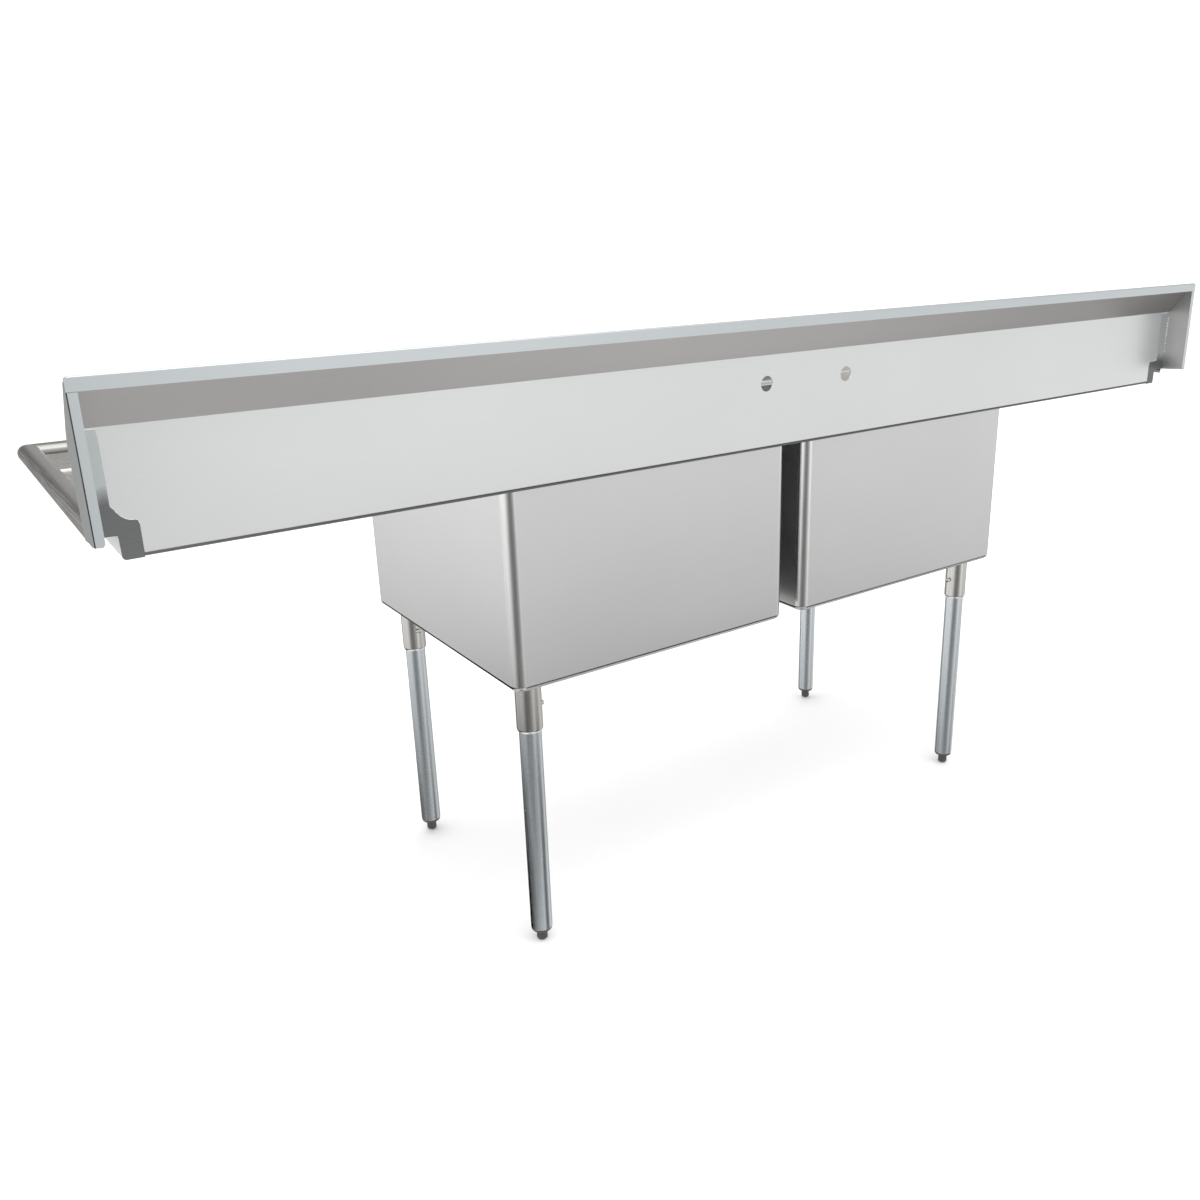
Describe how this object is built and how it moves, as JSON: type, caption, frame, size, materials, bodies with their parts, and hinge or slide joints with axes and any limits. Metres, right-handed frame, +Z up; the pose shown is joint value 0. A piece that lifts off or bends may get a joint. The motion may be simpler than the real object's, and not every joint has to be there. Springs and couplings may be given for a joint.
{
  "type": "two compartment sink",
  "caption": "Commercial stainless scullery sink with deep coved compartments, a drainboard at each end, a backsplash with a sloped return, rolled front and side rims, tube legs and screw feet.",
  "frame": {"origin": "on the floor, at the middle of the length and of the depth from the wall plane to the front of the rolled rim", "axes": "+X right for a user at the front, +Y towards the wall behind the backsplash, +Z up"},
  "size_m": [2.4892, 0.767, 1.1532],
  "materials": {
    "splash_steel": "satin",
    "trim_steel": "satin",
    "corner_steel": "satin",
    "deck_steel": "brushed",
    "rim_steel": "polished",
    "bowl_steel": "satin",
    "socket_steel": "polished",
    "galvanised_steel": "galvanised",
    "screw_steel": "zinc plated",
    "foot_plastic": "moulded",
    "drain_steel": "polished",
    "drain_brass": "plated",
    "gasket_rubber": "matte"
  },
  "bodies": {
    "sink": {"backsplash": "splash_steel", "end_cap_left": "trim_steel", "end_cap_right": "trim_steel", "corner_plate_left": "corner_steel", "corner_plate_right": "corner_steel", "drainboard_left": "deck_steel", "drainboard_right": "deck_steel", "front_apron": "deck_steel", "centre_bridge": "deck_steel", "rim_front": "rim_steel", "rim_left": "rim_steel", "rim_right": "rim_steel", "bowl_left": "bowl_steel", "bowl_right": "bowl_steel", "strainer_body_left": "drain_steel", "strainer_body_right": "drain_steel", "drain_gasket_left": "gasket_rubber", "drain_gasket_right": "gasket_rubber", "locknut_left": "drain_brass", "locknut_right": "drain_brass", "tailpiece_left": "drain_brass", "tailpiece_right": "drain_brass", "slip_nut_left": "drain_brass", "slip_nut_right": "drain_brass", "gusset_rear_left": "socket_steel", "gusset_rear_right": "socket_steel", "gusset_front_left": "socket_steel", "gusset_front_right": "socket_steel", "socket_rear_left": "socket_steel", "socket_rear_right": "socket_steel", "socket_front_left": "socket_steel", "socket_front_right": "socket_steel", "set_screw_rear_left": "screw_steel", "set_screw_rear_right": "screw_steel", "set_screw_front_left": "screw_steel", "set_screw_front_right": "screw_steel", "leg_rear_left": "galvanised_steel", "leg_rear_right": "galvanised_steel", "leg_front_left": "galvanised_steel", "leg_front_right": "galvanised_steel", "foot_collar_rear_left": "foot_plastic", "foot_collar_rear_right": "foot_plastic", "foot_collar_front_left": "foot_plastic", "foot_collar_front_right": "foot_plastic"},
    "basket_left": {"basket_left": "drain_steel"},
    "basket_right": {"basket_right": "drain_steel"},
    "foot_rear_left": {"foot_rear_left": "foot_plastic"},
    "foot_rear_right": {"foot_rear_right": "foot_plastic"},
    "foot_front_left": {"foot_front_left": "foot_plastic"},
    "foot_front_right": {"foot_front_right": "foot_plastic"}
  },
  "joints": [
    {"name": "basket_left_lift", "type": "slide", "parent": "sink", "child": "basket_left", "axis": [0, 0, 1], "range_m": [0, 0.66]},
    {"name": "basket_right_lift", "type": "slide", "parent": "sink", "child": "basket_right", "axis": [0, 0, 1], "range_m": [0, 0.66]},
    {"name": "foot_rear_left_screw", "type": "slide", "parent": "sink", "child": "foot_rear_left", "axis": [0, 0, -1], "range_m": [0, 0.025]},
    {"name": "foot_rear_right_screw", "type": "slide", "parent": "sink", "child": "foot_rear_right", "axis": [0, 0, -1], "range_m": [0, 0.025]},
    {"name": "foot_front_left_screw", "type": "slide", "parent": "sink", "child": "foot_front_left", "axis": [0, 0, -1], "range_m": [0, 0.025]},
    {"name": "foot_front_right_screw", "type": "slide", "parent": "sink", "child": "foot_front_right", "axis": [0, 0, -1], "range_m": [0, 0.025]}
  ]
}
